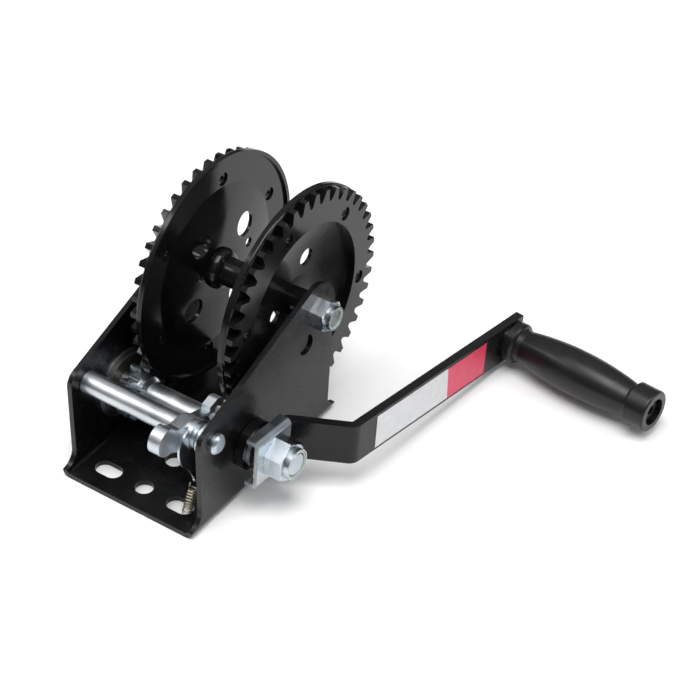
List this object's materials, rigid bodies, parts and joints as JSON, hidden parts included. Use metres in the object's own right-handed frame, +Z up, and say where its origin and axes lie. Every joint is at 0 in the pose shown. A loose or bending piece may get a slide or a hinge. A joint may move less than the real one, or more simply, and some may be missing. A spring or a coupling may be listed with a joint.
{
  "type": "boat trailer winch",
  "caption": "Hand winch with a folded steel frame, an open two-gear drum, a ratchet and pawl, and an offset crank with a spinning grip.",
  "frame": {"origin": "underside of the base, at the centre of the middle front bolt hole", "axes": "+X along the drum axle towards the crank, +Y from the front edge of the base to the back, +Z up out of the base"},
  "size_m": [0.2911, 0.2773, 0.1718],
  "materials": {
    "black_paint": "gloss",
    "bright_zinc": "bright blue zinc plate",
    "bronze": "sintered, dull",
    "spring_wire": "bare",
    "black_plastic": "moulded, matt",
    "nylon": "pale, slightly translucent",
    "label_film": "printed film without lettering",
    "black_steel": "satin"
  },
  "bodies": {
    "winch_frame": {"frame": "black_paint", "axle_bolt": "bright_zinc", "axle_nut": "bright_zinc", "axle_nut_insert": "nylon", "pawl_pin": "bright_zinc", "pin_tube": "bright_zinc", "pin_spacer": "bright_zinc", "left_bearing": "bronze", "right_bearing": "bronze", "bearing_washer": "bright_zinc", "pawl_spring": "spring_wire"},
    "drum": {"left_flange": "black_paint", "right_flange": "black_paint", "left_ring_gear": "black_paint", "right_ring_gear": "black_paint", "left_rivets": "black_paint", "right_rivets": "black_paint", "drum_tube": "black_paint", "left_weld_bead": "black_paint", "right_weld_bead": "black_paint"},
    "crank_drive": {"drive_shaft": "bright_zinc", "shaft_clip": "bright_zinc", "left_pinion": "bright_zinc", "right_pinion": "bright_zinc", "left_sleeve": "bright_zinc", "right_sleeve": "bright_zinc", "ratchet_wheel": "bright_zinc", "crank_hub": "black_steel", "crank_spacer": "bright_zinc", "crank_arm": "black_paint", "crank_bracket": "bright_zinc", "crank_nut": "bright_zinc", "crank_nut_insert": "nylon", "arm_label": "label_film", "grip_bolt": "bright_zinc", "grip_washer": "bright_zinc"},
    "crank_grip": {"grip": "black_plastic"},
    "pawl_lever": {"pawl": "bright_zinc", "spring_plate": "bright_zinc"}
  },
  "joints": [
    {"name": "crank_turn", "type": "hinge", "parent": "winch_frame", "child": "crank_drive", "pos_m": [0, 0.0413, 0.0374], "axis": [1, 0, 0], "continuous": true},
    {"name": "drum_turn", "type": "hinge", "parent": "winch_frame", "child": "drum", "pos_m": [0, 0.1128, 0.0938], "axis": [1, 0, 0], "continuous": true},
    {"name": "grip_spin", "type": "hinge", "parent": "crank_drive", "child": "crank_grip", "pos_m": [0.11915, 0.24041, 0.01858], "axis": [0.9954, -0.0954, 0.009], "continuous": true},
    {"name": "pawl_pivot", "type": "hinge", "parent": "winch_frame", "child": "pawl_lever", "pos_m": [0, 0.007, 0.0615], "axis": [1, 0, 0], "range_deg": [-5, 25], "deforming": ["pawl_spring"]}
  ],
  "couplings": [
    {"joint": "drum_turn", "follows": "crank_turn", "ratio": -0.2381}
  ]
}
